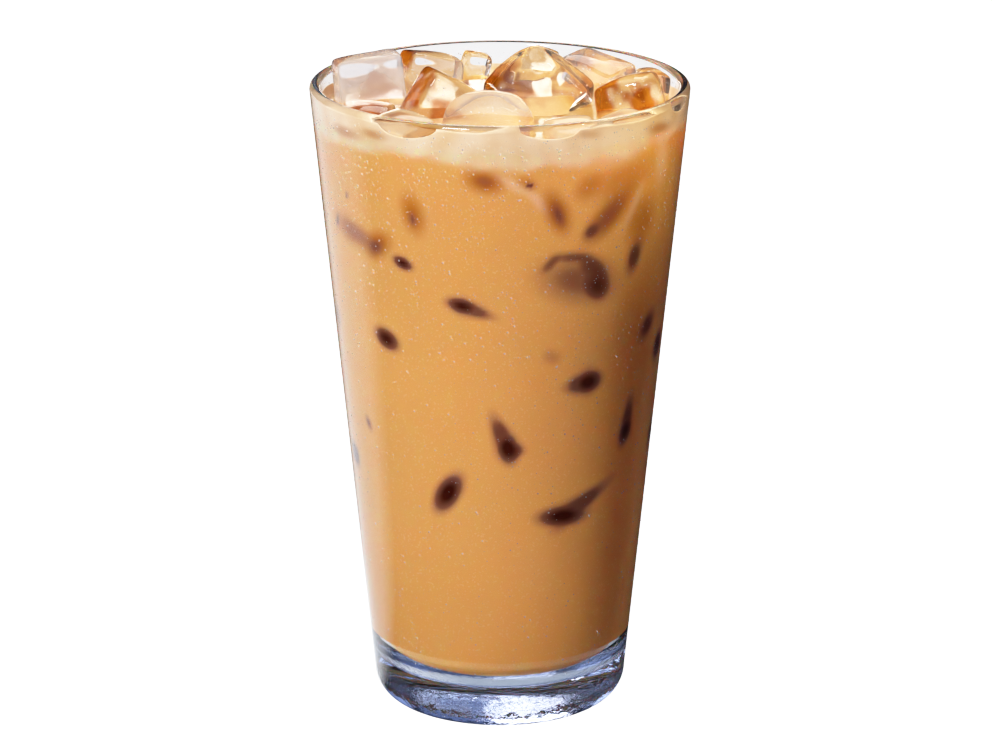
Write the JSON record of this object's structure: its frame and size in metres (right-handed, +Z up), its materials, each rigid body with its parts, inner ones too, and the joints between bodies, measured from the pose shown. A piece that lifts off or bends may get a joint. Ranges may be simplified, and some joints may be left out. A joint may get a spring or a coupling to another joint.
{
  "type": "iced latte",
  "caption": "Tall tapered clear glass with a thick base, filled with milky coffee and heaped with melting ice blocks that stand above the drink.",
  "frame": {"origin": "centre of the foot of the glass, on the surface it stands on", "axes": "+Z up along the axis of the glass, +X to the viewer's right and +Y away from the viewer in the front view"},
  "size_m": [0.0878, 0.0878, 0.1563],
  "materials": {
    "glass": "clear, polished soda-lime glass",
    "latte": "opaque milky coffee, liquid gloss",
    "ice": "clear wet ice with coffee stains"
  },
  "bodies": {
    "root": {"glass": "glass", "drink": "latte", "ice_left": "ice", "ice_low_left": "ice", "ice_back_left": "ice", "ice_chip": "ice", "ice_middle_left": "ice", "ice_front": "ice", "ice_middle": "ice", "ice_back": "ice", "ice_back_right": "ice", "ice_far_right": "ice", "ice_right": "ice", "ice_front_right": "ice", "ice_low_right": "ice", "ice_front_left": "ice"}
  },
  "joints": []
}
